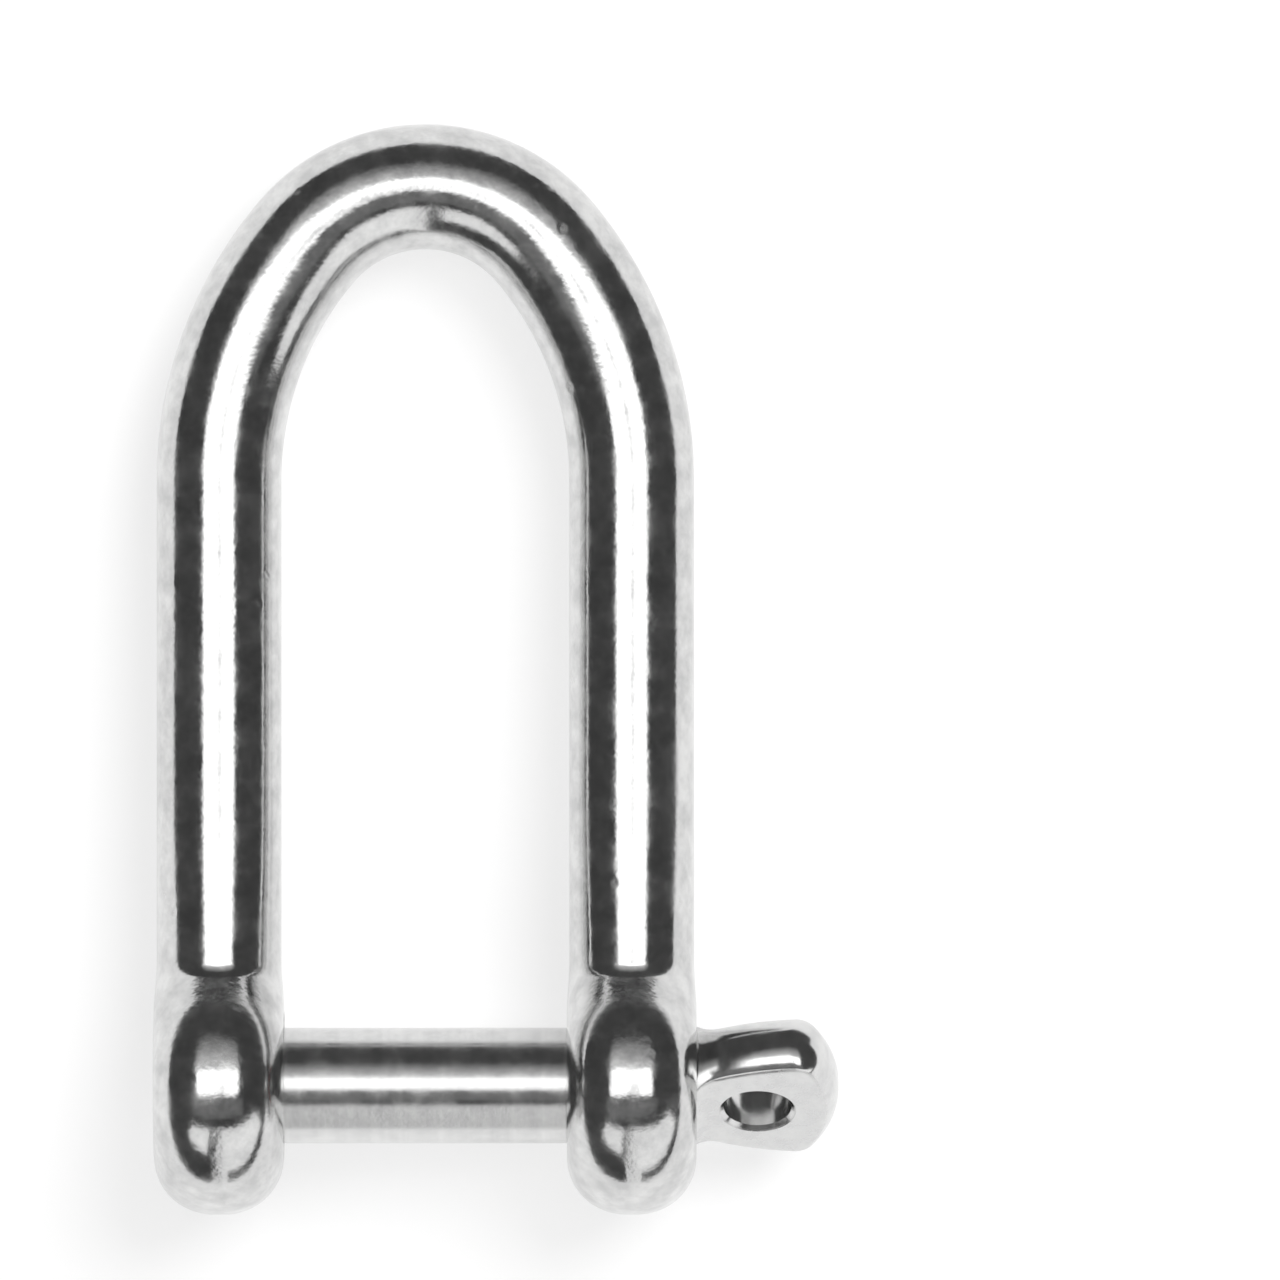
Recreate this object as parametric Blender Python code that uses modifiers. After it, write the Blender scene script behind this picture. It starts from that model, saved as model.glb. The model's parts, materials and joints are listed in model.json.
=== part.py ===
"""Long dee shackle with a screw pin, built in metres, +Z up.

It lies flat: the pin runs along X with its head at +X, the crown points to +Y.
Every piece is modelled about the pin axis, half-way between the eyes, and then
moved so that the world origin is under the middle of the whole shackle.
"""

import math

import bmesh
import bpy
import numpy as np
from mathutils import Matrix, Vector

MM = 0.001

# bow: one bar, bent to a dee, with an eye forged on each end
BAR_DIAMETER = 8.0 * MM
JAW_WIDTH = 18.5 * MM  # between the two spot faces
CROWN_HEIGHT = 57.5 * MM  # pin axis to the middle of the bar at the crown
CROWN_RADIUS = 10.0 * MM  # middle of the bar, over the top of the arch
CROWN_ANGLE = math.radians(50)  # the crown arc reaches this far to each side
EYE_DIAMETER = 16.6 * MM
EYE_THICKNESS = 8.3 * MM  # as forged, before its inner side is spot-faced
EYE_EDGE_RADIUS = 3.65 * MM
EYE_FOOT_ANGLE = math.radians(5)  # the small flat that the dies leave at the foot
NECK_SLOPE = math.radians(41)  # the eye falls to the leg in a straight ramp
NECK_FILLET = 1.5 * MM  # where the ramp meets the leg
NECK_SWELL = 0.15  # the leg is this share deeper where the ramp meets it
NECK_TAPER = 9.0 * MM  # length over which it thins to the plain bar
SPOT_DEPTH = 0.2 * MM
SPOT_LAND = 0.6 * MM  # ring of spot face left around the bore

# screw pin
THREAD_DIAMETER = 8.0 * MM
THREAD_PITCH = 1.25 * MM
THREAD_LENGTH = 6.9 * MM  # with its run-out
GROOVE_SHARE = 0.6  # depth of the pin's thread, in pitches
TAP_SHARE = 0.48  # depth of the eye's thread, in pitches
PITCH_LINE_SHARE = 0.3248  # from the crest to the pitch line, in pitches
FLANK_ANGLE = math.radians(30)
RUN_OUT = 0.5  # of a turn
LEAD_CHAMFER = 1.35 * MM
SHANK_RELIEF = 0.3 * MM  # the rolled thread stands this far above the shank
GROOVE_DEPTH = 0.4 * MM
LUG_REACH = 9.1 * MM  # from the outer face of the eye to the end of the lug
LUG_WIDTH = 11.5 * MM
LUG_THICKNESS = 3.9 * MM
LUG_END_RADIUS = 10.3 * MM
LUG_HOLE_DIAMETER = 4.3 * MM
LUG_HOLE_REACH = 3.9 * MM  # from the outer face of the eye to the hole
LUG_FACE_START = 1.25 * MM  # from the outer face of the eye to the lug's flat
LUG_SCOOP_RADIUS = 1.7 * MM
LUG_SPARE = 0.5 * MM  # left on each face of the forged blank for the milling
LUG_EDGE_RADIUS = 2.2 * MM  # round edge of the forged blank
LUG_REST_TURN = math.radians(57)

# locking ring
RING_LENGTH = 5.2 * MM
RING_TAPER = 0.05 * MM  # radius lost towards the thread
RING_INSET = 0.3 * MM  # from the spot face into the bore
RING_CHAMFER = 0.2 * MM

# fits
PASSING_CLEARANCE = 0.15 * MM  # radial, for the thread through the plain bore
NECK_CLEARANCE = 0.1 * MM  # radial, around the neck
RING_CLEARANCE = 0.05 * MM  # radial, both inside and outside the ring
RING_END_GAP = 0.1 * MM
THREAD_CLEARANCE = 0.05 * MM  # at each crest, radial
FLANK_CLEARANCE = 0.06 * MM  # at each flank, along the axis
TIP_INSET = 0.1 * MM  # the tip stops this far inside the eye
LUG_GAP = 0.3 * MM  # from the eye to where the lug grows wider than the neck

# how finely round shapes are cut
BAR_SEGMENTS = 32
BORE_SEGMENTS = 36
LUG_EDGE_RINGS = 14

# worked out from the sizes above
BAR_RADIUS = BAR_DIAMETER / 2
EYE_RADIUS = EYE_DIAMETER / 2
JAW_FACE = JAW_WIDTH / 2
LEG_X = JAW_FACE - SPOT_DEPTH + EYE_THICKNESS / 2
EYE_FACE = LEG_X + EYE_THICKNESS / 2
SIDE_RADIUS = (LEG_X - CROWN_RADIUS * math.sin(CROWN_ANGLE)) / (1 - math.sin(CROWN_ANGLE))
THREAD_DEPTH = GROOVE_SHARE * THREAD_PITCH
PITCH_RADIUS = THREAD_DIAMETER / 2 - PITCH_LINE_SHARE * THREAD_PITCH
CREST_RADIUS = THREAD_DIAMETER / 2 - THREAD_CLEARANCE
TAP_RADIUS = THREAD_DIAMETER / 2 - TAP_SHARE * THREAD_PITCH
SHANK_RADIUS = THREAD_DIAMETER / 2 - SHANK_RELIEF
GROOVE_RADIUS = SHANK_RADIUS - GROOVE_DEPTH
BORE_RADIUS = THREAD_DIAMETER / 2 + PASSING_CLEARANCE
NECK_RADIUS = BORE_RADIUS - NECK_CLEARANCE
SPOT_RADIUS = BORE_RADIUS + SPOT_LAND
TIP_X = TIP_INSET - EYE_FACE
THREAD_END = TIP_X + THREAD_LENGTH
COUNTERBORE_END = THREAD_END - (RUN_OUT + 0.35) * THREAD_PITCH  # clear of the run-out
RING_START = JAW_FACE + RING_INSET
OUTSIDE = 20 * MM  # how far a cutter runs past what it cuts
LEFT_SIDE = -max(EYE_FACE, LEG_X + BAR_RADIUS)
FOOT = -EYE_RADIUS * math.cos(EYE_FOOT_ANGLE)
ORIGIN = Vector((
    -(LEFT_SIDE + EYE_FACE + LUG_REACH) / 2,
    -(FOOT + CROWN_HEIGHT + BAR_RADIUS) / 2,
    max(EYE_RADIUS, BAR_RADIUS),
))

parts_collection = None
cutters_collection = None


def clear_scene():
    for thing in list(bpy.data.objects):
        bpy.data.objects.remove(thing, do_unlink=True)


def make_collection(name):
    collection = bpy.data.collections.new(name)
    bpy.context.scene.collection.children.link(collection)
    return collection


def make_material(name, colour, metallic, roughness):
    material = bpy.data.materials.new(name)
    material.use_nodes = True
    shader = material.node_tree.nodes["Principled BSDF"]
    shader.inputs["Base Color"].default_value = (*colour, 1)
    shader.inputs["Metallic"].default_value = metallic
    shader.inputs["Roughness"].default_value = roughness
    return material


def add_part(name, mesh, material, axis, turn=0.0):
    """A piece of the shackle, whose origin is on the pin axis."""
    part = bpy.data.objects.new(name, mesh)
    mesh.materials.append(material)
    part.parent = axis
    part.rotation_euler.x = turn
    parts_collection.objects.link(part)
    return part


def add_cutter(name, mesh, follow):
    """A hidden cutter that moves with the piece that it shapes."""
    cutter = bpy.data.objects.new(name, mesh)
    cutter.parent = follow
    cutter.hide_render = True
    cutter.display_type = "WIRE"
    cutters_collection.objects.link(cutter)
    return cutter


def shape_with(part, cutter, operation="DIFFERENCE"):
    boolean = part.modifiers.new(cutter.name, "BOOLEAN")
    boolean.operation = operation
    boolean.solver = "EXACT"
    boolean.object = cutter


def loft(name, rings):
    """Closed skin over rings of equally many points, capped at both ends."""
    mesh = bpy.data.meshes.new(name)
    body = bmesh.new()
    rows = [[body.verts.new(point) for point in ring] for ring in rings]
    for row, following in zip(rows, rows[1:]):
        for i in range(len(row)):
            j = (i + 1) % len(row)
            body.faces.new((row[i], row[j], following[j], following[i]))
    body.faces.new(rows[0])
    body.faces.new(list(reversed(rows[-1])))
    bmesh.ops.recalc_face_normals(body, faces=body.faces)
    body.to_mesh(mesh)
    body.free()
    mesh.shade_smooth()
    mesh.set_sharp_from_angle(angle=math.radians(35))
    return mesh


def turned(part, closed=False):
    """Revolve the profile in a part's mesh about the pin axis."""
    screw = part.modifiers.new("turn", "SCREW")
    screw.axis = "X"
    screw.steps = screw.render_steps = BORE_SEGMENTS
    screw.use_merge_vertices = not closed
    screw.merge_threshold = 0.00001
    screw.use_smooth_shade = True


def profile_mesh(name, points, closed=False):
    """A line of (along the axis, radius) points, given from the tip to the head.

    It is laid down from the head to the tip, so that the turned skin faces out.
    """
    mesh = bpy.data.meshes.new(name)
    edges = [(i, i + 1) for i in range(len(points) - 1)]
    if closed:
        edges.append((len(points) - 1, 0))
    mesh.from_pydata([(x, 0, radius) for x, radius in reversed(points)], edges, [])
    return mesh


def cylinder_mesh(name, radius, start, end, across=False):
    """A cylinder along the pin axis, or through the lug when it lies across."""
    body = bmesh.new()
    bmesh.ops.create_cone(
        body, cap_ends=True, segments=BORE_SEGMENTS,
        radius1=radius, radius2=radius, depth=end - start,
    )
    place = Matrix.Translation((0, 0, (start + end) / 2))
    if not across:
        place = Matrix.Rotation(math.pi / 2, 4, "Y") @ place
    bmesh.ops.transform(body, matrix=place, verts=body.verts)
    mesh = bpy.data.meshes.new(name)
    body.to_mesh(mesh)
    body.free()
    return mesh


def outline_mesh(name, points, half_depth, upright=False):
    """A flat outline in XY, given depth along Z, or in XZ with depth along Y."""
    curve = bpy.data.curves.new(name, "CURVE")
    curve.dimensions = "2D"
    curve.fill_mode = "BOTH"
    curve.extrude = half_depth
    spline = curve.splines.new("POLY")
    spline.points.add(len(points) - 1)
    for target, (x, y) in zip(spline.points, points):
        target.co = (x, y, 0, 1)
    spline.use_cyclic_u = True
    flat = bpy.data.objects.new(name, curve)
    bpy.context.scene.collection.objects.link(flat)
    evaluated = flat.evaluated_get(bpy.context.evaluated_depsgraph_get())
    mesh = bpy.data.meshes.new_from_object(evaluated)
    bpy.data.objects.remove(flat, do_unlink=True)
    body = bmesh.new()
    body.from_mesh(mesh)
    bmesh.ops.remove_doubles(body, verts=body.verts, dist=0.000001)
    if upright:
        bmesh.ops.rotate(body, verts=body.verts, matrix=Matrix.Rotation(math.pi / 2, 3, "X"))
    bmesh.ops.recalc_face_normals(body, faces=body.faces)
    body.to_mesh(mesh)
    body.free()
    return mesh


def eye_rim(x):
    """Radius of the eye at a distance x from its middle plane."""
    rounded = np.clip(np.abs(x) - (BAR_RADIUS - EYE_EDGE_RADIUS), 0, EYE_EDGE_RADIUS)
    return EYE_RADIUS - EYE_EDGE_RADIUS + np.sqrt(EYE_EDGE_RADIUS**2 - rounded**2)


def ease_step(share):
    share = np.clip(share, 0, 1)
    return share * share * (3 - 2 * share)


def neck_heights(x):
    """Where the ramp leaves the eye, and where its fillet starts and ends, at this x."""
    rim = eye_rim(x)
    bar = (1 + NECK_SWELL) * np.sqrt(np.maximum(BAR_RADIUS**2 - x**2, 0))
    corner = (rim - bar * math.cos(NECK_SLOPE)) / math.sin(NECK_SLOPE)
    run = NECK_FILLET * math.tan(NECK_SLOPE / 2)
    return rim * math.sin(NECK_SLOPE), corner - run * math.cos(NECK_SLOPE), corner + run


def forging_half_depth(x, y):
    """Half the depth in Z of eye, ramp, fillet and swelled leg, at y above the pin axis."""
    rim = eye_rim(x)
    eye = np.sqrt(np.maximum(rim**2 - y**2, 0))
    if y <= 0:
        return eye
    bar = np.sqrt(np.maximum(BAR_RADIUS**2 - x**2, 0))
    leaves, bends, meets = neck_heights(x)
    ramp = (rim - y * math.sin(NECK_SLOPE)) / math.cos(NECK_SLOPE)
    hollow = np.sqrt(np.maximum(NECK_FILLET**2 - (meets - y) ** 2, 0))
    fillet = (1 + NECK_SWELL) * bar + NECK_FILLET - hollow
    leg = (1 + NECK_SWELL - NECK_SWELL * ease_step((y - meets) / NECK_TAPER)) * bar
    neck = np.where(y < bends, ramp, np.where(y < meets, fillet, leg))
    return np.where(y < leaves, eye, neck)


def leg_section(y):
    """(across, depth) points around the leg or the eye at y above the pin axis."""
    angles = np.arange(BAR_SEGMENTS) * 2 * math.pi / BAR_SEGMENTS
    across, depth = np.abs(np.cos(angles)), np.abs(np.sin(angles))
    low = np.zeros(BAR_SEGMENTS)
    high = np.full(BAR_SEGMENTS, EYE_DIAMETER)
    for _ in range(40):
        middle = (low + high) / 2
        x = middle * across
        limit = forging_half_depth(np.minimum(x, BAR_RADIUS), y)
        within = (x <= BAR_RADIUS) & (middle * depth < limit)
        low = np.where(within, middle, low)
        high = np.where(within, high, middle)
    flat = EYE_RADIUS - EYE_EDGE_RADIUS
    top = neck_heights(0.0)[-1]
    ease = ease_step((y - flat) / (top - flat))
    thickness = EYE_THICKNESS / BAR_DIAMETER * (1 - ease) + ease
    return np.column_stack((low * np.cos(angles) * thickness, low * np.sin(angles)))


def leg_stations():
    """Heights from the foot of the eye to the plain bar."""
    leaves, bends, meets = neck_heights(0.0)
    foot = [-EYE_RADIUS * math.cos(a) for a in np.linspace(EYE_FOOT_ANGLE, math.pi / 2, 10)]
    eye = list(np.linspace(0, leaves, 6)[1:])
    ramp = list(np.linspace(leaves, bends, 4)[1:])
    fillet = list(np.linspace(bends, meets, 5)[1:])
    leg = list(np.linspace(meets, meets + NECK_TAPER, 7)[1:])
    return foot + eye + ramp + fillet + leg


def arch_stations():
    """(x, y, angle from the crown) along the arch, from the left leg to the right."""
    quarter = []
    for angle in np.linspace(math.pi / 2, CROWN_ANGLE, 8)[:-1]:
        drop = CROWN_RADIUS * (1 - math.cos(CROWN_ANGLE))
        drop += SIDE_RADIUS * (math.cos(CROWN_ANGLE) - math.cos(angle))
        reach = LEG_X - SIDE_RADIUS * (1 - math.sin(angle))
        quarter.append((reach, CROWN_HEIGHT - drop, angle))
    for angle in np.linspace(CROWN_ANGLE, 0, 8):
        drop = CROWN_RADIUS * (1 - math.cos(angle))
        quarter.append((CROWN_RADIUS * math.sin(angle), CROWN_HEIGHT - drop, angle))
    left = [(-x, y, -angle) for x, y, angle in quarter]
    return left + quarter[-2::-1]


def bow_mesh():
    rings = []
    stations = leg_stations()
    for y in stations:
        rings.append([(-LEG_X + across, y, depth) for across, depth in leg_section(y)])
    circle = leg_section(stations[-1])
    for x, y, angle in arch_stations():
        inward_x, inward_y = -math.sin(angle), -math.cos(angle)
        rings.append([(x + a * inward_x, y + a * inward_y, depth) for a, depth in circle])
    for y in reversed(stations):
        rings.append([(LEG_X - across, y, depth) for across, depth in leg_section(y)])
    return loft("bow", rings)


def helical_ridge(name, start, end, base, tip, phase, fade=0.0):
    """A ridge that winds round the axis and cuts one thread groove.

    base and tip are (radius, half width). The ridge's middle passes start at
    the angle phase, and over the last fade of a turn it lifts off the axis.
    """
    steps = math.ceil((end - start) / THREAD_PITCH * BORE_SEGMENTS)
    rings = []
    for i in range(steps + 1):
        turn = i / BORE_SEGMENTS
        left = (steps - i) / BORE_SEGMENTS
        lift = THREAD_DEPTH * max(0.0, 1 - left / fade) if fade else 0.0
        angle = 2 * math.pi * turn + phase
        middle = start + THREAD_PITCH * turn
        corners = ((base, -1), (base, 1), (tip, 1), (tip, -1))
        rings.append([
            (
                middle + side * half,
                (radius + lift) * math.cos(angle),
                (radius + lift) * math.sin(angle),
            )
            for (radius, half), side in corners
        ])
    return loft(name, rings)


def flank_half_width(depth_from_pitch_line):
    """Half the width of a groove, from the standard 60 degree form."""
    return THREAD_PITCH / 4 + FLANK_CLEARANCE - math.tan(FLANK_ANGLE) * depth_from_pitch_line


def tapped_eye_profile():
    """Step drill for the left eye: tapping hole, counterbore and spot face."""
    start, end = -EYE_FACE - OUTSIDE, -JAW_FACE / 2
    return [
        (start, 0),
        (start, TAP_RADIUS),
        (COUNTERBORE_END, TAP_RADIUS),
        (COUNTERBORE_END, BORE_RADIUS),
        (-JAW_FACE, BORE_RADIUS),
        (-JAW_FACE, SPOT_RADIUS),
        (end, SPOT_RADIUS),
        (end, 0),
    ]


def plain_eye_profile():
    """Step drill for the right eye: spot face and plain bore."""
    start, end = JAW_FACE / 2, EYE_FACE + OUTSIDE
    return [
        (start, 0),
        (start, SPOT_RADIUS),
        (JAW_FACE, SPOT_RADIUS),
        (JAW_FACE, BORE_RADIUS),
        (end, BORE_RADIUS),
        (end, 0),
    ]


def make_bow(steel, axis):
    bow = add_part("bow", bow_mesh(), steel, axis)
    drills = {}
    for name, profile in (("tapped_eye", tapped_eye_profile()), ("plain_eye", plain_eye_profile())):
        drills[name] = add_cutter(name, profile_mesh(name, profile), axis)
        turned(drills[name])
    inner = TAP_RADIUS - 2 * THREAD_CLEARANCE
    outer = THREAD_DIAMETER / 2 + THREAD_CLEARANCE
    tap = helical_ridge(
        "tap",
        TIP_X - 1.5 * THREAD_PITCH,
        COUNTERBORE_END + THREAD_PITCH / 2,
        (inner, flank_half_width(inner - PITCH_RADIUS)),
        (outer, flank_half_width(outer - PITCH_RADIUS)),
        LUG_REST_TURN,
    )
    shape_with(drills["tapped_eye"], add_cutter("tap", tap, axis), "UNION")
    for drill in drills.values():
        shape_with(bow, drill)
    return bow


def pin_profile():
    """The pin from its tip to inside the lug, before thread and flats."""
    step = CREST_RADIUS - SHANK_RADIUS
    groove_start = RING_START - RING_END_GAP
    groove_end = RING_START + RING_LENGTH + RING_END_GAP
    head_end = EYE_FACE + LUG_FACE_START + LUG_SCOOP_RADIUS
    return [
        (TIP_X, 0),
        (TIP_X, CREST_RADIUS - LEAD_CHAMFER),
        (TIP_X + LEAD_CHAMFER, CREST_RADIUS),
        (THREAD_END, CREST_RADIUS),
        (THREAD_END + step, SHANK_RADIUS),
        (groove_start, SHANK_RADIUS),
        (groove_start, GROOVE_RADIUS),
        (groove_end, GROOVE_RADIUS),
        (groove_end, NECK_RADIUS),
        (head_end, NECK_RADIUS),
        (head_end, 0),
    ]


def lug_outline():
    """Outline of the lug in XY: two bowed sides, and an end that is one arc."""
    half = LUG_WIDTH / 2
    end_centre = EYE_FACE + LUG_REACH - LUG_END_RADIUS
    corner_angle = math.asin(half / LUG_END_RADIUS)
    corner_x = end_centre + LUG_END_RADIUS * math.cos(corner_angle)
    start_x = EYE_FACE + LUG_GAP
    length, rise = corner_x - start_x, half - NECK_RADIUS
    side_radius = (length**2 + rise**2) / (2 * rise)
    upper = []
    for x in np.linspace(EYE_FACE, corner_x, 8):
        along = x - corner_x
        inward = side_radius - math.sqrt(side_radius**2 - along**2)
        upper.append((x, half - inward))
    for angle in np.linspace(corner_angle, 0, 9)[1:]:
        upper.append((
            end_centre + LUG_END_RADIUS * math.cos(angle),
            LUG_END_RADIUS * math.sin(angle),
        ))
    lower = [(x, -y) for x, y in reversed(upper[:-1])]
    return upper + lower


def lug_blank_mesh(name):
    """The forged blank: the lug's outline, with a round edge all the way along."""
    outline = np.array(lug_outline())
    run = np.roll(outline, -1, axis=0) - outline
    run /= np.linalg.norm(run, axis=1)[:, None]
    inward = np.column_stack((run[:, 1], -run[:, 0]))
    before = np.roll(inward, 1, axis=0)
    draw_in = (inward + before) / (1 + np.sum(inward * before, axis=1))[:, None]
    draw_in[0] = 0, -1 / run[0, 0]  # the root, inside the neck, is cut off square
    draw_in[-1] = 0, 1 / run[0, 0]
    flat = LUG_THICKNESS / 2 + LUG_SPARE - LUG_EDGE_RADIUS
    rings = []
    for angle in np.linspace(-math.pi / 2, math.pi / 2, LUG_EDGE_RINGS):
        z = math.copysign(flat, angle) + LUG_EDGE_RADIUS * math.sin(angle)
        points = outline + draw_in * LUG_EDGE_RADIUS * (1 - math.cos(angle))
        rings.append([(x, y, z) for x, y in points])
    return loft(name, rings)


def scoop_outline(side):
    """Outline in XZ of what is milled away over one face of the lug."""
    centre_x = EYE_FACE + LUG_FACE_START
    centre_z = LUG_THICKNESS / 2 + LUG_SCOOP_RADIUS
    points = []
    for angle in np.linspace(math.pi, 1.5 * math.pi, 8):
        points.append((
            centre_x + LUG_SCOOP_RADIUS * math.cos(angle),
            centre_z + LUG_SCOOP_RADIUS * math.sin(angle),
        ))
    points.append((EYE_FACE + LUG_REACH + OUTSIDE, LUG_THICKNESS / 2))
    points.append((EYE_FACE + LUG_REACH + OUTSIDE, OUTSIDE))
    points.append((points[0][0], OUTSIDE))
    return [(x, side * z) for x, z in points]


def make_pin(steel, axis):
    pin = add_part("screw_pin", profile_mesh("screw_pin", pin_profile()), steel, axis, LUG_REST_TURN)
    turned(pin)
    plate = add_cutter("lug_blank", lug_blank_mesh("lug_blank"), pin)
    shape_with(pin, plate, "UNION")
    for name, side in (("scoop_front", 1), ("scoop_back", -1)):
        scoop = outline_mesh(name, scoop_outline(side), LUG_WIDTH, upright=True)
        shape_with(pin, add_cutter(name, scoop, pin))
    hole = cylinder_mesh("lug_hole", LUG_HOLE_DIAMETER / 2, -OUTSIDE, OUTSIDE, across=True)
    hole.transform(Matrix.Translation((EYE_FACE + LUG_HOLE_REACH, 0, 0)))
    shape_with(pin, add_cutter("lug_hole", hole, pin))
    root = THREAD_DIAMETER / 2 - THREAD_DEPTH
    outer = CREST_RADIUS + THREAD_CLEARANCE
    die = helical_ridge(
        "die",
        TIP_X - THREAD_PITCH,
        THREAD_END,
        (root, flank_half_width(PITCH_RADIUS - root)),
        (outer, flank_half_width(PITCH_RADIUS - outer)),
        0.0,
        fade=RUN_OUT,
    )
    shape_with(pin, add_cutter("die", die, pin))
    return pin


def make_ring(polymer, axis):
    start, end = RING_START, RING_START + RING_LENGTH
    inner = GROOVE_RADIUS + RING_CLEARANCE
    large = BORE_RADIUS - RING_CLEARANCE
    small = large - RING_TAPER
    points = [
        (start, inner),
        (start, small - RING_CHAMFER),
        (start + RING_CHAMFER, small),
        (end - RING_CHAMFER, large),
        (end, large - RING_CHAMFER),
        (end, inner),
    ]
    ring = add_part("locking_ring", profile_mesh("locking_ring", points, closed=True), polymer, axis)
    turned(ring, closed=True)
    return ring


clear_scene()
parts_collection = make_collection("dee_shackle")
cutters_collection = make_collection("cutters")
steel = make_material("stainless_steel", (0.62, 0.62, 0.61), 1.0, 0.22)
polymer = make_material("red_polymer", (0.62, 0.03, 0.015), 0.0, 0.35)
pin_axis = bpy.data.objects.new("pin_axis", None)
pin_axis.location = ORIGIN
parts_collection.objects.link(pin_axis)
make_bow(steel, pin_axis)
make_pin(steel, pin_axis)
make_ring(polymer, pin_axis)
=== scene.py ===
import json
import math

import bpy
import numpy as np
from mathutils import Matrix, Vector


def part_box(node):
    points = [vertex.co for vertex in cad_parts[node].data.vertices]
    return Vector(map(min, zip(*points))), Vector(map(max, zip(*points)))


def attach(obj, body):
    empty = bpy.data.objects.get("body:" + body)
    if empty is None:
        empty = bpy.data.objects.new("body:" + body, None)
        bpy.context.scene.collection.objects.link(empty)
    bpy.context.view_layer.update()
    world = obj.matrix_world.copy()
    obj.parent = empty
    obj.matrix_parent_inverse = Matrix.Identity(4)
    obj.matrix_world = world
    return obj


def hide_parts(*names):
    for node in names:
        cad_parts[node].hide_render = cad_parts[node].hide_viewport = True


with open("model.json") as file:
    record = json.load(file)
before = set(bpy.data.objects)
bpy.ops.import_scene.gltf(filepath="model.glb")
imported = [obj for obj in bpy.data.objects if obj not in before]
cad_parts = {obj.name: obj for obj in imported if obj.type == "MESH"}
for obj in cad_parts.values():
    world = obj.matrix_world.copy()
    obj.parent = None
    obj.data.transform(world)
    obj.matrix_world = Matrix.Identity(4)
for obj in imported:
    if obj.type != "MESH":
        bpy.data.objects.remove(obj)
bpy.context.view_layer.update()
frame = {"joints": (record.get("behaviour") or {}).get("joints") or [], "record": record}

mm = 0.001
fullTurn = 2 * math.pi

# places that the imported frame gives, measured from the pin axis half-way between the eyes
pinTurn = next(joint for joint in frame["joints"] if joint["name"] == "pin_turn")
mounts = {mount["name"]: mount for mount in frame["record"]["mounts"]}
pinAxis = Vector(pinTurn["pos_m"])
bowLow, bowHigh = (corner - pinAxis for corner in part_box("bow"))
pinLow, pinHigh = (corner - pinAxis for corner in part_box("screw_pin"))
ringLow, ringHigh = (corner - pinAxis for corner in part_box("locking_ring"))
jawFace = mounts["jaw_face_plain_eye"]["pos_m"][0] - pinAxis.x
lugFace = mounts["lug_front_face"]["axis"]
lugTurn = math.atan2(-lugFace[1], lugFace[2])
eyeFace = bowHigh.x
eyeRadius = bowHigh.z
tipX = pinLow.x

thread = {
    "pitch": 1.25 * mm,
    "pitchRadius": 3.594 * mm,
    "flankSlope": math.tan(math.radians(60)),
    "flankClearance": 0.06 * mm,
    "pinCrest": 3.95 * mm,
    "pinRoot": 3.25 * mm,
    "tapCrest": 3.4 * mm,
    "tapRoot": 4.05 * mm,
    "end": pinLow.x + 6.9 * mm,
    "runOut": 0.5,  # of a turn
    "cornerBlend": 0.06 * mm,
}


def softMax(a, b, blend):
    # the larger of two, with the corner between them rounded
    near = np.maximum(blend - np.abs(a - b), 0) / blend
    return np.maximum(a, b) + near * near * blend / 4


def softMin(a, b, blend):
    return -softMax(-a, -b, blend)


def roundedCorner(a, b, radius):
    # two walls, solid where both are below zero, that meet in a round of this radius
    overA, overB = np.maximum(a + radius, 0), np.maximum(b + radius, 0)
    return np.hypot(overA, overB) + np.minimum(np.maximum(a, b) + radius, 0) - radius


def easeStep(value, low, high):
    share = np.clip((value - low) / (high - low), 0, 1)
    return share * share * (3 - 2 * share)


def skinMesh(name, rings, ringLoop=False):
    # a skin over rings of equally many points, closed by a fan at each end or into a loop
    rings = np.asarray(rings, float)
    rows, around = rings.shape[:2]
    bands = rows if ringLoop else rows - 1
    row, column = np.meshgrid(np.arange(bands), np.arange(around), indexing="ij")
    row, column = row.ravel(), column.ravel()
    nextRow, nextColumn = (row + 1) % rows, (column + 1) % around
    quads = np.column_stack((
        row * around + column,
        row * around + nextColumn,
        nextRow * around + nextColumn,
        nextRow * around + column,
    ))
    points = rings.reshape(-1, 3)
    faces = quads.tolist()
    if not ringLoop:
        points = np.vstack((points, rings[0].mean(0), rings[-1].mean(0)))
        start, end = rows * around, rows * around + 1
        lastRow = (rows - 1) * around
        for i in range(around):
            j = (i + 1) % around
            faces.append([start, j, i])
            faces.append([end, lastRow + i, lastRow + j])
    a, b, c, d = (points[quads[:, k]] for k in range(4))
    enclosed = np.einsum("ij,ij->", a, np.cross(b, c)) + np.einsum("ij,ij->", a, np.cross(c, d))
    if enclosed < 0:
        faces = [face[::-1] for face in faces]
    mesh = bpy.data.meshes.new(name)
    mesh.from_pydata(points.tolist(), [], faces)
    mesh.update()
    return mesh


def turnedMesh(name, stations, angles, ringLoop=False):
    # stations are (x, radius), where a radius is one number or one for each angle
    rings = []
    for x, radius in stations:
        radius = np.broadcast_to(radius, angles.shape)
        rings.append(np.column_stack((
            np.full(angles.shape, x), radius * np.cos(angles), radius * np.sin(angles),
        )))
    return skinMesh(name, rings, ringLoop)


def evenAngles(count):
    return np.arange(count) * fullTurn / count


def addPiece(name, mesh, turn=0.0):
    piece = bpy.data.objects.new(name, mesh)
    piece.location = pinAxis
    piece.rotation_euler.x = turn
    bpy.context.scene.collection.objects.link(piece)
    return piece


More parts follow.
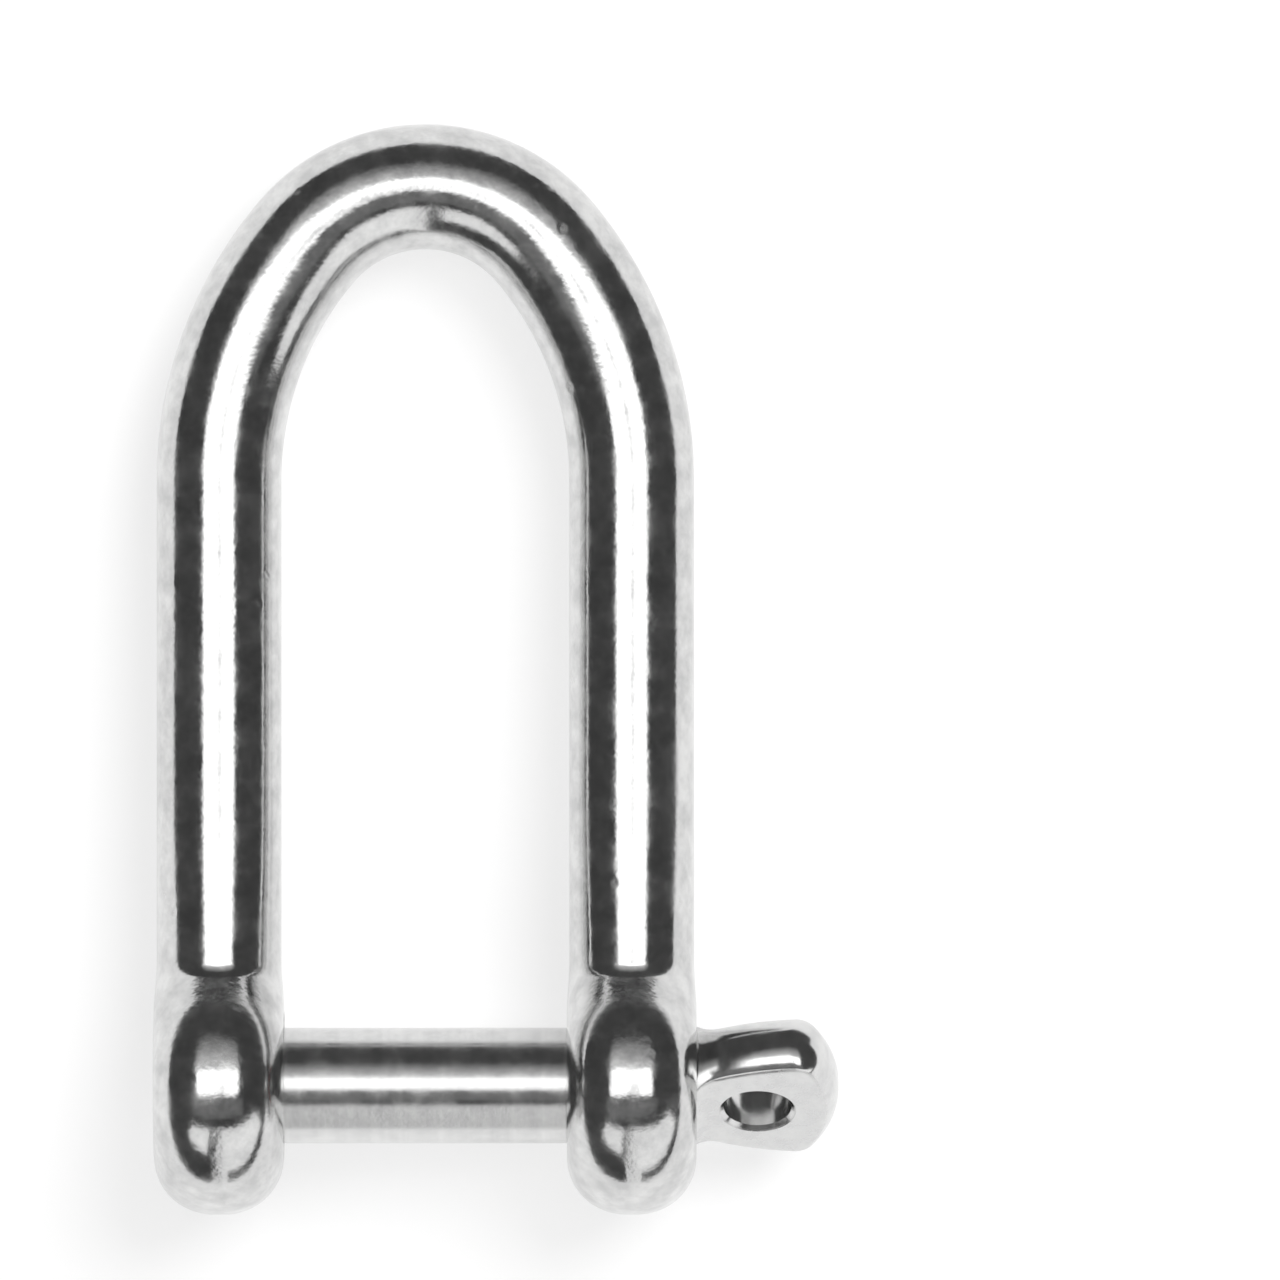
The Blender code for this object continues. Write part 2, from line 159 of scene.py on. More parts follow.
def cutAway(piece, cutters):
    # cut the cutters out of a piece, keep the result as its own mesh and remove them
    for cutter in cutters:
        boolean = piece.modifiers.new(cutter.name, "BOOLEAN")
        boolean.operation = "DIFFERENCE"
        boolean.solver = "EXACT"
        boolean.object = cutter
    bpy.context.view_layer.update()
    whole = piece.evaluated_get(bpy.context.evaluated_depsgraph_get())
    cutMesh = bpy.data.meshes.new_from_object(whole)
    piece.modifiers.clear()
    piece.data = cutMesh
    for cutter in cutters:
        bpy.data.objects.remove(cutter, do_unlink=True)


def shadeRound(mesh, sharpAngle):
    mesh.shade_smooth()
    mesh.set_sharp_from_angle(angle=math.radians(sharpAngle))


def threadRadius(x, angles, grooveStart, inner, outer, innerHalf):
    # radius of a helical thread whose groove is innerHalf wide, each way, at its inner radius
    turns = (x - grooveStart) / thread["pitch"] - angles / fullTurn
    away = np.abs(turns - np.round(turns)) * thread["pitch"]
    flank = inner + (away - innerHalf) * thread["flankSlope"]
    return softMin(softMax(flank, inner, thread["cornerBlend"]), outer, thread["cornerBlend"])


def grooveHalf(radius, clearance):
    # half width of the 60 degree groove at this radius
    return thread["pitch"] / 4 + clearance + (radius - thread["pitchRadius"]) / thread["flankSlope"]


# materials: a small kit, then one function for each finish

class Nodes:
    def __init__(self, tree):
        self.tree = tree

    def add(self, kind, settings=None, **values):
        node = self.tree.nodes.new(kind)
        for name, value in (settings or {}).items():
            setattr(node, name, value)
        for name, value in values.items():
            self.feed(node.inputs[name.replace("_", " ")], value)
        return node

    def feed(self, socket, value):
        if isinstance(value, bpy.types.NodeSocket):
            self.tree.links.new(value, socket)
        else:
            socket.default_value = value

    def math(self, operation, a, b=0.0):
        node = self.tree.nodes.new("ShaderNodeMath")
        node.operation = operation
        self.feed(node.inputs[0], a)
        self.feed(node.inputs[1], b)
        return node.outputs[0]

    def remap(self, value, fromLow, fromHigh, toLow, toHigh, smooth=False):
        node = self.add("ShaderNodeMapRange", {"clamp": True})
        if smooth:
            node.interpolation_type = "SMOOTHSTEP"
        for name, given in zip(
            ("Value", "From Min", "From Max", "To Min", "To Max"),
            (value, fromLow, fromHigh, toLow, toHigh),
        ):
            self.feed(node.inputs[name], given)
        return node.outputs["Result"]

    def band(self, value, low, high, softness):
        # one between low and high, and zero outside, with soft edges
        rise = self.remap(value, low - softness, low + softness, 0, 1, True)
        fall = self.remap(value, high - softness, high + softness, 1, 0, True)
        return self.math("MULTIPLY", rise, fall)

    def scaled(self, coordinates, x, y, z):
        node = self.tree.nodes.new("ShaderNodeMapping")
        self.feed(node.inputs["Vector"], coordinates)
        node.inputs["Scale"].default_value = (x, y, z)
        return node.outputs["Vector"]

    def noise(self, coordinates, scale, detail=2.0, roughness=0.5):
        node = self.add("ShaderNodeTexNoise", Vector=coordinates, Scale=scale)
        node.inputs["Detail"].default_value = detail
        node.inputs["Roughness"].default_value = roughness
        return node.outputs["Fac"]

    def cells(self, coordinates, scale, randomness=1.0):
        node = self.add("ShaderNodeTexVoronoi", Vector=coordinates, Scale=scale, Randomness=randomness)
        return node.outputs["Distance"]

    def bump(self, height, depth, normal=None):
        node = self.add("ShaderNodeBump", Height=height, Distance=depth, Strength=1.0)
        if normal is not None:
            self.feed(node.inputs["Normal"], normal)
        return node.outputs["Normal"]

    def blendColour(self, share, first, second):
        node = self.add("ShaderNodeMix", {"data_type": "RGBA"})
        self.feed(node.inputs[0], share)
        self.feed(node.inputs[6], first)
        self.feed(node.inputs[7], second)
        return node.outputs[2]


def newMaterial(name):
    material = bpy.data.materials.new(name)
    material.use_nodes = True
    nodes = Nodes(material.node_tree)
    shader = material.node_tree.nodes["Principled BSDF"]
    place = nodes.add("ShaderNodeTexCoord").outputs["Object"]
    return material, nodes, shader, place


forgingFinish = {
    "light": (0.72, 0.72, 0.715, 1),
    "dark": (0.54, 0.54, 0.54, 1),
    "roughness": (0.09, 0.22),
    "wavePerMetre": 260,  # slow hand-polished undulation
    "waveDepth": 0.016 * mm,
    "grainPerMetre": 2600,
    "grainDepth": 0.0042 * mm,
    "ripplePerMetre": 1300,
    "rippleDepth": 0.009 * mm,
    "pitPerMetre": 420,
    "pitDepth": 0.02 * mm,
    "pitPatchPerMetre": 300,  # the pits lie in a few patches
    "hazePerMetre": 520,
    "scratchPerMetre": 5400,
    "scratchStretch": 0.06,
    "scratchDulling": 0.05,
    "pitDulling": 0.12,
}


def polishedForging():
    material, nodes, shader, place = newMaterial("polishedForging")
    finish = forgingFinish
    wave = nodes.noise(place, finish["wavePerMetre"], 1.5, 0.45)
    grain = nodes.noise(place, finish["grainPerMetre"], 3.0, 0.6)
    haze = nodes.noise(place, finish["hazePerMetre"], 4.0, 0.62)
    # short polishing scratches that run along the bar
    scratchPlace = nodes.scaled(place, 1.0, finish["scratchStretch"], 1.0)
    scratch = nodes.noise(scratchPlace, finish["scratchPerMetre"], 2.0, 0.55)
    scratchMask = nodes.remap(scratch, 0.60, 0.72, 0.0, 1.0)
    # a few small dents left from the forging dies
    pits = nodes.cells(place, finish["pitPerMetre"])
    pitPatch = nodes.noise(place, finish["pitPatchPerMetre"], 1.0)
    pitGate = nodes.remap(pitPatch, 0.56, 0.62, 0.0, 1.0)
    pitShape = nodes.math("MULTIPLY", nodes.remap(pits, 0.05, 0.22, 1.0, 0.0, True), pitGate)
    tone = nodes.remap(haze, 0.35, 0.65, 0.0, 1.0)
    nodes.feed(shader.inputs["Base Color"], nodes.blendColour(tone, finish["dark"], finish["light"]))
    shader.inputs["Metallic"].default_value = 1.0
    low, high = finish["roughness"]
    cloudy = nodes.remap(haze, 0.3, 0.7, low, high)
    scratched = nodes.math("MULTIPLY", scratchMask, finish["scratchDulling"])
    pitted = nodes.math("MULTIPLY", pitShape, finish["pitDulling"])
    rough = nodes.math("ADD", nodes.math("ADD", cloudy, scratched), pitted)
    nodes.feed(shader.inputs["Roughness"], rough)
    normal = nodes.bump(wave, finish["waveDepth"])
    ripple = nodes.noise(place, finish["ripplePerMetre"], 2.0, 0.5)
    normal = nodes.bump(ripple, finish["rippleDepth"], normal)
    normal = nodes.bump(grain, finish["grainDepth"], normal)
    normal = nodes.bump(nodes.math("SUBTRACT", 1.0, pitShape), finish["pitDepth"], normal)
    nodes.feed(shader.inputs["Normal"], normal)
    return material


turnedFinish = {
    "light": (0.72, 0.72, 0.715, 1),
    "dark": (0.60, 0.60, 0.60, 1),
    "roughness": (0.16, 0.27),
    "grainPerMetre": 3000,
    "grainDepth": 0.0030 * mm,
    "linesPerMetre": 9000,
    "lineDepth": 0.0004 * mm,
    "lineStretch": 0.012,
    "bandsPerMetre": 1500,
    "bandStretch": 0.03,
    "smearPerMetre": 600,
    "smearDepth": 0.004 * mm,
}


def turnedSteel():
    # the shank keeps the fine rings that turning leaves
    material, nodes, shader, place = newMaterial("turnedSteel")
    finish = turnedFinish
    linePlace = nodes.scaled(place, 1.0, finish["lineStretch"], finish["lineStretch"])
    bandPlace = nodes.scaled(place, 1.0, finish["bandStretch"], finish["bandStretch"])
    lines = nodes.noise(linePlace, finish["linesPerMetre"], 3.0, 0.7)
    bands = nodes.noise(bandPlace, finish["bandsPerMetre"], 2.0, 0.6)
    smear = nodes.noise(place, finish["smearPerMetre"], 3.0, 0.6)
    grain = nodes.noise(place, finish["grainPerMetre"], 3.0, 0.65)
    mixed = nodes.math("ADD", nodes.math("MULTIPLY", bands, 0.3), nodes.math("MULTIPLY", smear, 0.7))
    tone = nodes.remap(mixed, 0.36, 0.62, 0, 1)
    nodes.feed(shader.inputs["Base Color"], nodes.blendColour(tone, finish["dark"], finish["light"]))
    shader.inputs["Metallic"].default_value = 1.0
    low, high = finish["roughness"]
    nodes.feed(shader.inputs["Roughness"], nodes.remap(smear, 0.35, 0.65, low, high))
    normal = nodes.bump(smear, finish["smearDepth"])
    normal = nodes.bump(grain, finish["grainDepth"], normal)
    normal = nodes.bump(lines, finish["lineDepth"], normal)
    nodes.feed(shader.inputs["Normal"], normal)
    return material


lugFinish = {
    "light": (0.72, 0.72, 0.715, 1),
    "dark": (0.62, 0.62, 0.62, 1),
    "roughness": (0.22, 0.36),
    "edgeShare": 0.55,
    "edgeBlend": (0.12 * mm, 0.04 * mm),  # below the flat face
    "mottlePerMetre": 700,
    "mottleDepth": 0.006 * mm,
    "grainPerMetre": 3200,
    "grainDepth": 0.0022 * mm,
}


def satinLug():
    # the forged lug is tumbled to a soft, slightly mottled satin
    material, nodes, shader, place = newMaterial("satinLug")
    finish = lugFinish
    mottle = nodes.noise(place, finish["mottlePerMetre"], 4.0, 0.6)
    grain = nodes.noise(place, finish["grainPerMetre"], 3.0, 0.65)
    tone = nodes.remap(mottle, 0.35, 0.65, 0, 1)
    nodes.feed(shader.inputs["Base Color"], nodes.blendColour(tone, finish["dark"], finish["light"]))
    shader.inputs["Metallic"].default_value = 1.0
    low, high = finish["roughness"]
    satin = nodes.remap(mottle, 0.3, 0.7, low, high)
    # the round edge round the two flat faces is buffed brighter
    height = nodes.math("ABSOLUTE", nodes.add("ShaderNodeSeparateXYZ", Vector=place).outputs[2])
    below, above = (lug["halfThickness"] - depth for depth in finish["edgeBlend"])
    onFace = nodes.remap(height, below, above, 0, 1)
    buffed = nodes.math("MULTIPLY", satin, finish["edgeShare"])
    rough = nodes.add("ShaderNodeMix")
    nodes.feed(rough.inputs[0], onFace)
    nodes.feed(rough.inputs[2], buffed)
    nodes.feed(rough.inputs[3], satin)
    nodes.feed(shader.inputs["Roughness"], rough.outputs[0])
    normal = nodes.bump(mottle, finish["mottleDepth"])
    normal = nodes.bump(grain, finish["grainDepth"], normal)
    nodes.feed(shader.inputs["Normal"], normal)
    return material


ringFinish = {
    "light": (0.66, 0.035, 0.018, 1),
    "dark": (0.50, 0.018, 0.010, 1),
    "roughness": (0.20, 0.34),
    "cloudPerMetre": 480,
    "skinPerMetre": 3000,
    "rubPerMetre": 4000,
    "rubStretch": 0.05,
    "unevenness": 0.0015 * mm,
}


def redPolymer():
    material, nodes, shader, place = newMaterial("redPolymer")
    finish = ringFinish
    cloud = nodes.noise(place, finish["cloudPerMetre"], 3.0, 0.55)
    skin = nodes.noise(place, finish["skinPerMetre"], 2.0, 0.5)
    rubPlace = nodes.scaled(place, 1.0, finish["rubStretch"], finish["rubStretch"])
    rubbed = nodes.noise(rubPlace, finish["rubPerMetre"], 2.0, 0.6)
    tone = nodes.remap(cloud, 0.35, 0.65, 0, 1)
    nodes.feed(shader.inputs["Base Color"], nodes.blendColour(tone, finish["dark"], finish["light"]))
    low, high = finish["roughness"]
    nodes.feed(shader.inputs["Roughness"], nodes.remap(rubbed, 0.35, 0.65, low, high))
    shader.inputs["IOR"].default_value = 1.5
    shader.inputs["Coat Weight"].default_value = 0.25
    shader.inputs["Coat Roughness"].default_value = 0.12
    normal = nodes.bump(rubbed, finish["unevenness"])
    normal = nodes.bump(skin, finish["unevenness"], normal)
    nodes.feed(shader.inputs["Normal"], normal)
    return material


# the bow: one forged bar with an eye at each end

bow = {
    "barRadius": 4.0 * mm,
    "crownRadius": 10.0 * mm,
    "crownAngle": math.radians(50),
    "eyeThickness": 8.3 * mm,
    "eyeEdgeRadius": 3.65 * mm,
    "neckSlope": math.radians(41),
    "neckFillet": 1.5 * mm,
    "neckSwell": 0.15,
    "neckTaper": 9.0 * mm,
    "boreRadius": 4.15 * mm,
    "spotRadius": 4.75 * mm,
    "mouthChamfer": 0.25 * mm,
    "tapChamfer": 0.25 * mm,
    "counterboreEnd": thread["end"] - (thread["runOut"] + 0.35) * thread["pitch"],
    "pointsAround": 144,
    "footSteps": 56,
    "neckSteps": 26,
    "legSpacing": 1.2 * mm,
    "archSteps": 64,
}


def eyeRim(x):
    # radius of the eye at a distance x from its middle plane
    flat = bow["barRadius"] - bow["eyeEdgeRadius"]
    rounded = np.clip(np.abs(x) - flat, 0, bow["eyeEdgeRadius"])
    return eyeRadius - bow["eyeEdgeRadius"] + np.sqrt(bow["eyeEdgeRadius"]**2 - rounded**2)


def neckHeights(x):
    # where the ramp leaves the eye, and where its fillet starts and ends on the leg
    slope, fillet = bow["neckSlope"], bow["neckFillet"]
    rim = eyeRim(x)
    bar = (1 + bow["neckSwell"]) * np.sqrt(np.maximum(bow["barRadius"]**2 - x**2, 0))
    corner = (rim - bar * math.cos(slope)) / math.sin(slope)
    run = fillet * math.tan(slope / 2)
    return rim * math.sin(slope), corner - run * math.cos(slope), corner + run


def forgingHalfDepth(x, y):
    rim = eyeRim(x)
    eye = np.sqrt(np.maximum(rim**2 - y**2, 0))
    bar = np.sqrt(np.maximum(bow["barRadius"]**2 - x**2, 0))
    leaves, bends, meets = neckHeights(x)
    ramp = (rim - y * math.sin(bow["neckSlope"])) / math.cos(bow["neckSlope"])
    hollow = np.sqrt(np.maximum(bow["neckFillet"]**2 - (meets - y)**2, 0))
    swell = bow["neckSwell"]
    fillet = (1 + swell) * bar + bow["neckFillet"] - hollow
    leg = (1 + swell - swell * easeStep(y, meets, meets + bow["neckTaper"])) * bar
    neck = np.where(y < bends, ramp, np.where(y < meets, fillet, leg))
    return np.where(y < leaves, eye, neck)


def legSections(heights):
    # (across, depth) for each height above the pin axis and each angle round the section
    angles = evenAngles(bow["pointsAround"])
    across, depth = np.abs(np.cos(angles))[None, :], np.abs(np.sin(angles))[None, :]
    y = np.asarray(heights)[:, None]
    low = np.zeros((len(heights), len(angles)))
    high = np.full_like(low, 2 * eyeRadius)
    for _ in range(44):
        middle = (low + high) / 2
        x = middle * across
        limit = forgingHalfDepth(np.minimum(x, bow["barRadius"]), y)
        within = (x <= bow["barRadius"]) & (middle * depth < limit)
        low = np.where(within, middle, low)
        high = np.where(within, high, middle)
    top = neckHeights(np.array(0.0))[-1]
    ease = easeStep(y, eyeRadius - bow["eyeEdgeRadius"], top)
    thickness = bow["eyeThickness"] / (2 * bow["barRadius"]) * (1 - ease) + ease
    return low * np.cos(angles) * thickness, low * np.sin(angles)


def archLine(legX, crownHeight):
    # (x, y, angle from the crown) along the middle of the bar, from the left leg to the right
    crownAngle, crownRadius = bow["crownAngle"], bow["crownRadius"]
    sideRadius = (legX - crownRadius * math.sin(crownAngle)) / (1 - math.sin(crownAngle))
    half = []
    for angle in np.linspace(math.pi / 2, 0, bow["archSteps"] + 1):
        if angle > crownAngle:
            drop = crownRadius * (1 - math.cos(crownAngle))
            drop += sideRadius * (math.cos(crownAngle) - math.cos(angle))
            reach = legX - sideRadius * (1 - math.sin(angle))
        else:
            drop = crownRadius * (1 - math.cos(angle))
            reach = crownRadius * math.sin(angle)
        half.append((reach, crownHeight - drop, angle))
    return [(-x, y, -angle) for x, y, angle in half] + half[-2::-1]


def bowRings():
    legX = eyeFace - bow["eyeThickness"] / 2
    leaves, bends, meets = (float(height) for height in neckHeights(np.array(0.0)))
    arch = archLine(legX, bowHigh.y - bow["barRadius"])
    # the foot is drawn in by a hair, so that it ends where the frame's own foot does
    footShare = -bowLow.y / eyeRadius
    foot = -eyeRadius * np.cos(np.linspace(math.radians(0.7), math.pi / 2, bow["footSteps"]))
    eye = np.linspace(0, leaves, bow["neckSteps"])[1:]
    ramp = np.linspace(leaves, bends, bow["neckSteps"])[1:]
    fillet = np.linspace(bends, meets, bow["neckSteps"])[1:]
    legCount = math.ceil((arch[0][1] - meets) / bow["legSpacing"])
    leg = np.linspace(meets, arch[0][1], legCount, endpoint=False)[1:]
    heights = np.concatenate((foot, eye, ramp, fillet, leg))
    across, depth = legSections(heights)
    drawn = np.where(heights < 0, heights * footShare, heights)
    left = [np.column_stack((a - legX, np.full_like(a, y), d)) for a, y, d in zip(across, drawn, depth)]
    right = [np.column_stack((legX - a, np.full_like(a, y), d)) for a, y, d in zip(across, drawn, depth)]
    angles = evenAngles(bow["pointsAround"])
    barAcross, barDepth = bow["barRadius"] * np.cos(angles), bow["barRadius"] * np.sin(angles)
    middle = []
    for x, y, angle in arch:
        middle.append(np.column_stack((
            x - barAcross * math.sin(angle), y - barAcross * math.cos(angle), barDepth,
        )))
    return left + middle + right[::-1]


def tappedDrill():
    # thread, counterbore and spot face of the left eye, as one hidden cutter
    angles = evenAngles(120)
    inner, outer = thread["tapCrest"], thread["tapRoot"]
    grooveStart = tipX - thread["pitch"] - thread["pitch"] * lugTurn / fullTurn
    innerHalf = grooveHalf(inner, -thread["flankClearance"])
    stations = []
    face = -eyeFace
    for x in np.arange(face - 1.0 * mm, bow["counterboreEnd"], thread["pitch"] / 18):
        mouth = outer + bow["tapChamfer"] - (x - face)
        cut = threadRadius(x, angles, grooveStart, inner, outer, innerHalf)
        stations.append((x, np.maximum(cut, mouth)))
    shoulder = bow["counterboreEnd"]
    stations.append((shoulder, threadRadius(shoulder, angles, grooveStart, inner, outer, innerHalf)))
    stations.append((shoulder + 0.05 * mm, bow["boreRadius"]))
    return addPiece("tappedDrill", turnedMesh("tappedDrill", stations + spotFace(-1), angles))


def spotFace(side):
    # from the bore out over the flat that the pin's shoulder would meet, as (x, radius) stations
    chamfer = bow["mouthChamfer"] / 2
    stations = [
        (jawFace + chamfer, bow["boreRadius"]),
        (jawFace, bow["boreRadius"] + chamfer),
        (jawFace, bow["spotRadius"]),
        (jawFace - 2 * mm, bow["spotRadius"] + 0.4 * mm),
    ]
    return [(side * x, radius) for x, radius in stations]


def plainDrill():
    angles = evenAngles(180)
    chamfer = bow["mouthChamfer"]
    stations = [
        (eyeFace + 1.0 * mm, bow["boreRadius"] + chamfer + 1.0 * mm),
        (eyeFace - chamfer, bow["boreRadius"]),
    ]
    return addPiece("plainDrill", turnedMesh("plainDrill", stations + spotFace(1), angles))


def makeBow():
    piece = addPiece("bowForging", skinMesh("bowForging", bowRings()))
    cutAway(piece, [tappedDrill(), plainDrill()])
    shadeRound(piece.data, 32)
    piece.data.materials.append(polishedForging())
    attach(piece, "bow")
    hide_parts("bow")
    print("bow:", len(piece.data.vertices), "points")


# the screw pin: thread, shank, groove for the ring, neck and lug

pin = {
    "leadChamfer": 1.35 * mm,
    "shankRadius": 3.7 * mm,
    "grooveRadius": 3.3 * mm,
    "neckRadius": 4.05 * mm,
    "edgeBreak": 0.08 * mm,
    "ringGap": 0.1 * mm,
    "threadSpacing": 0.05 * mm,
    "anglesAround": 336,
    "angleCrowding": 0.32,  # more of the points lie near the lug's two edges
}

lug = {
    "halfWidth": 5.75 * mm,
    "halfThickness": 1.95 * mm,
    "blankHalfThickness": 2.45 * mm,
    "blankEdgeRadius": 2.2 * mm,
    "endRadius": 10.3 * mm,
    "sideStart": 0.3 * mm,
    "faceStart": 1.25 * mm,
    "scoopRadius": 1.7 * mm,
    "edgeRound": 0.12 * mm,
    "edgeRoundAtNeck": 0.06 * mm,
    "cornerRound": 1.3 * mm,
    "neckBlend": 0.35 * mm,
    "holeReach": 3.9 * mm,
    "holeRadius": 2.15 * mm,
    "holeChamfer": 0.3 * mm,
}


def crowdedAngles():
    even = evenAngles(pin["anglesAround"])
    return even - pin["angleCrowding"] * np.sin(2 * even)


def lugWidthAt(x):
    # the two bowed sides, each one arc from the neck to the corner of the end
    endCentre = pinHigh.x - lug["endRadius"]
    cornerX = endCentre + math.sqrt(lug["endRadius"]**2 - lug["halfWidth"]**2)
    startX = eyeFace + lug["sideStart"]
    length, rise = cornerX - startX, lug["halfWidth"] - pin["neckRadius"]
    sideRadius = (length**2 + rise**2) / (2 * rise)
    along = np.minimum(x - cornerX, 0)
    return lug["halfWidth"] - sideRadius + math.sqrt(sideRadius**2 - along**2)


def scoopHeight(x):
    # half depth that the milled scoop leaves at x
    start = eyeFace + lug["faceStart"] - lug["scoopRadius"]
    if x < start:
        return None
    along = min(x - eyeFace - lug["faceStart"], 0)
    fall = math.sqrt(max(lug["scoopRadius"]**2 - along**2, 0))
    return lug["halfThickness"] + lug["scoopRadius"] - fall


def headField(x, y, z):
    # below zero inside the head
    neck = np.hypot(y, z) - pin["neckRadius"]
    scoop = scoopHeight(x)
    if scoop is None:
        return neck
    endCentre = pinHigh.x - lug["endRadius"]
    side = np.abs(y) - lugWidthAt(x)
    end = np.hypot(x - endCentre, y) - lug["endRadius"]
    plan = roundedCorner(side, end, lug["cornerRound"])
    blank = roundedCorner(plan, np.abs(z) - lug["blankHalfThickness"], lug["blankEdgeRadius"])
    neckEnd = x - eyeFace - lug["faceStart"] - lug["scoopRadius"]
    joined = softMin(np.maximum(neck, neckEnd), blank, lug["neckBlend"])
    flatShare = float(easeStep(x, eyeFace - 0.1 * mm, eyeFace + lug["faceStart"] + 0.4 * mm))
    atNeck = lug["edgeRoundAtNeck"]
    rounding = atNeck + (lug["edgeRound"] - atNeck) * flatShare
    return roundedCorner(joined, np.abs(z) - scoop, rounding)


def headRadius(x, angles):
    low, high = np.zeros(angles.shape), np.full(angles.shape, 1.3 * lug["halfWidth"])
    for _ in range(40):
        middle = (low + high) / 2
        within = headField(x, middle * np.cos(angles), middle * np.sin(angles)) < 0
        low = np.where(within, middle, low)
        high = np.where(within, high, middle)
    return low


def pinThreadRadius(x, angles):
    # a rolled thread that lifts out of the bar over its last half turn
    grooveStart = tipX - thread["pitch"]
    inner, outer = thread["pinRoot"], thread["pinCrest"]
    innerHalf = grooveHalf(inner, thread["flankClearance"])
    turns = (x - grooveStart) / thread["pitch"] - angles / fullTurn
    nearest = np.round(turns)
    left = (thread["end"] - grooveStart) / thread["pitch"] - nearest - angles / fullTurn
    lift = (outer - inner) * np.clip(1 - left / thread["runOut"], 0, None)
    away = np.abs(turns - nearest) * thread["pitch"]
    flank = inner + (away - innerHalf) * thread["flankSlope"]
    cut = softMax(flank, inner, thread["cornerBlend"]) + lift
    chamfer = outer - pin["leadChamfer"] + (x - tipX)
    return softMin(softMin(cut, outer, thread["cornerBlend"]), chamfer, thread["cornerBlend"])


def pinStations(angles):
    crest, shank, groove, neck = (
        thread["pinCrest"], pin["shankRadius"], pin["grooveRadius"], pin["neckRadius"],
    )
    small = pin["edgeBreak"]
    stations = []
    threadCount = math.ceil((thread["end"] - tipX) / pin["threadSpacing"])
    for x in np.linspace(tipX, thread["end"], threadCount + 1):
        stations.append((x, pinThreadRadius(x, angles)))
    drop = crest - shank
    stations.append((thread["end"] + 0.5 * drop, (crest + shank) / 2))
    grooveStart, grooveEnd = ringLow.x - pin["ringGap"], ringHigh.x + pin["ringGap"]
    for x in np.linspace(thread["end"] + drop, grooveStart - small, 24):
        stations.append((x, shank))
    stations += [
        (grooveStart, shank - small),
        (grooveStart, groove + small / 2),
        (grooveStart + small / 2, groove),
        (grooveEnd - small / 2, groove),
        (grooveEnd, groove + small / 2),
        (grooveEnd, neck - small),
        (grooveEnd + small, neck),
    ]
    scoopStart = eyeFace + lug["faceStart"] - lug["scoopRadius"]
    for x in np.linspace(grooveEnd + 0.6 * mm, scoopStart - 0.05 * mm, 5):
        stations.append((x, neck))
    stations.append((scoopStart - 0.03 * mm, neck))
    stations.append((scoopStart - 0.002 * mm, neck - 0.02 * mm))
    return stations


def headStations():
    # crowded where the scoop is steep and where the end's outline turns
    scoop = eyeFace + lug["faceStart"] - lug["scoopRadius"] * np.cos(np.linspace(0, math.pi / 2, 40))
    endCentre = pinHigh.x - lug["endRadius"]
    corner = math.asin(lug["halfWidth"] / lug["endRadius"])
    beforeCorner = np.linspace(scoop[-1], endCentre + lug["endRadius"] * math.cos(corner * 1.25), 66)[1:]
    turning = endCentre + lug["endRadius"] * np.cos(np.linspace(corner * 1.25, math.radians(1.0), 60)[1:])
    return np.concatenate((scoop, beforeCorner, turning))


def makePin():
    angles = crowdedAngles()
    stations = pinStations(angles) + [(x, headRadius(x, angles)) for x in headStations()]
    piece = addPiece("screwPin", turnedMesh("screwPin", stations, angles), lugTurn)
    reach, radius, chamfer = lug["halfThickness"], lug["holeRadius"], lug["holeChamfer"]
    drill = turnedMesh("lugDrill", [
        (-reach - 1 * mm, radius + chamfer + 1 * mm),
        (-reach + chamfer, radius),
        (reach - chamfer, radius),
        (reach + 1 * mm, radius + chamfer + 1 * mm),
    ], evenAngles(144))
    place = Matrix.Translation((eyeFace + lug["holeReach"], 0, 0))
    drill.transform(place @ Matrix.Rotation(math.pi / 2, 4, "Y"))
    cutAway(piece, [addPiece("lugDrill", drill, lugTurn)])
    shadeRound(piece.data, 30)
    piece.data.materials.append(turnedSteel())
    piece.data.materials.append(satinLug())
    headStart = eyeFace + lug["faceStart"] - lug["scoopRadius"] + 0.02 * mm
    for face in piece.data.polygons:
        face.material_index = 1 if face.center.x > headStart else 0
    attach(piece, "screw_pin")
    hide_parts("screw_pin")
    print("screw pin:", len(piece.data.vertices), "points")


# the locking ring: a turned sleeve that sits in the pin's groove

ring = {
    "innerRadius": 3.35 * mm,
    "taper": 0.05 * mm,
    "outerRound": 0.28 * mm,
    "innerRound": 0.12 * mm,
}


def makeRing():
    start, end = ringLow.x, ringHigh.x
    inner, outer = ring["innerRadius"], ringHigh.z
    corners = [  # x, radius, rounding, angle at which the rounding starts
        (start, outer - ring["taper"], ring["outerRound"], 180),
        (end, outer, ring["outerRound"], 90),
        (end, inner, ring["innerRound"], 0),
        (start, inner, ring["innerRound"], -90),
    ]
    stations = []
    for x, radius, rounding, first in corners:
        inX = rounding if x == start else -rounding
        inRadius = -rounding if radius > (inner + outer) / 2 else rounding
        for angle in np.radians(np.linspace(first, first - 90, 7)):
            stations.append((
                x + inX + rounding * math.cos(angle),
                radius + inRadius + rounding * math.sin(angle),
            ))
    piece = addPiece("lockingRing", turnedMesh("lockingRing", stations, evenAngles(192), ringLoop=True))
    shadeRound(piece.data, 40)
    piece.data.materials.append(redPolymer())
    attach(piece, "locking_ring")
    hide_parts("locking_ring")
    print("locking ring:", len(piece.data.vertices), "points")


# the studio: pale floor, soft light and the camera

